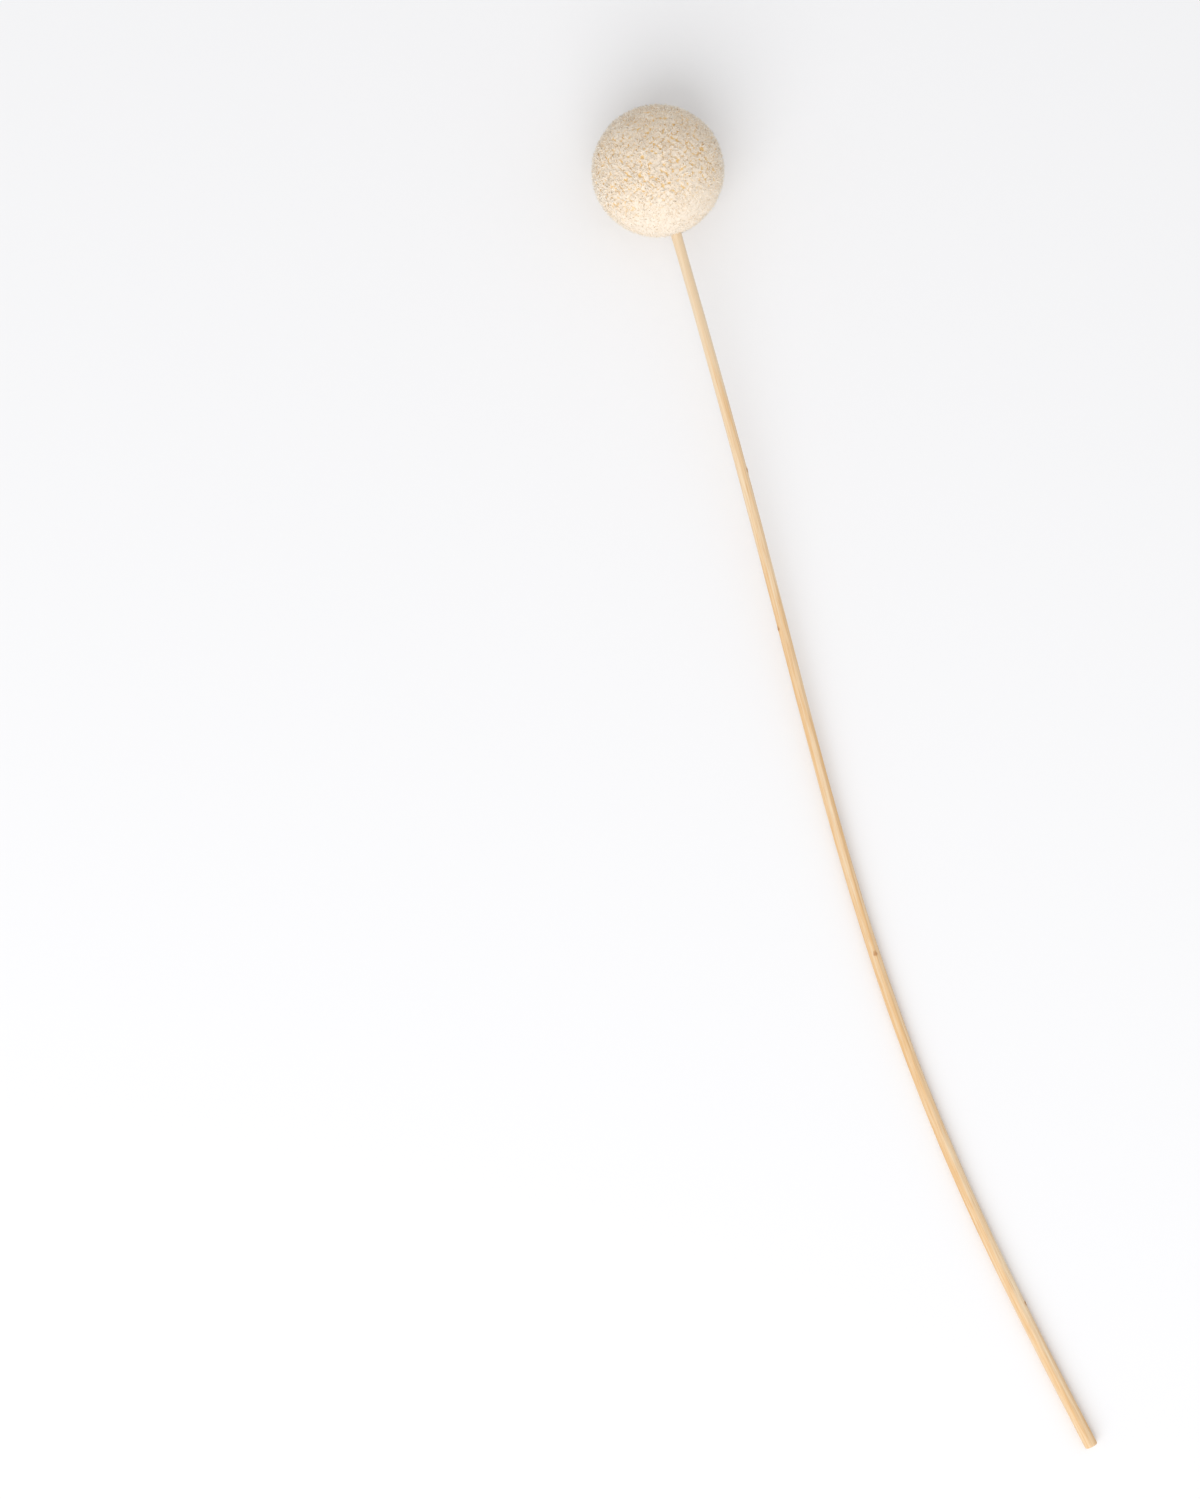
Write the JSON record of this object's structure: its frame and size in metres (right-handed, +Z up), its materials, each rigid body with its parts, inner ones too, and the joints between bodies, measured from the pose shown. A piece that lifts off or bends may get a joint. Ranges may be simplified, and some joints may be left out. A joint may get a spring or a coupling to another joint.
{
  "type": "billy buttons stem",
  "caption": "Dried billy buttons stem: a globe-shaped flower head packed with small pale florets on a long, bare, gently bowed stalk, lying down.",
  "frame": {"origin": "the spot under the flower head where it rests on the surface, straight below the head's middle", "axes": "+X from the flower head to the stalk's cut end, +Z up from the surface the part lies on, and the stalk bows to -Y"},
  "size_m": [0.3954, 0.0366, 0.0362],
  "materials": {
    "stalk": "satin",
    "florets": "matte"
  },
  "bodies": {
    "root": {"stem": "stalk", "flower_head": "florets"}
  },
  "joints": []
}
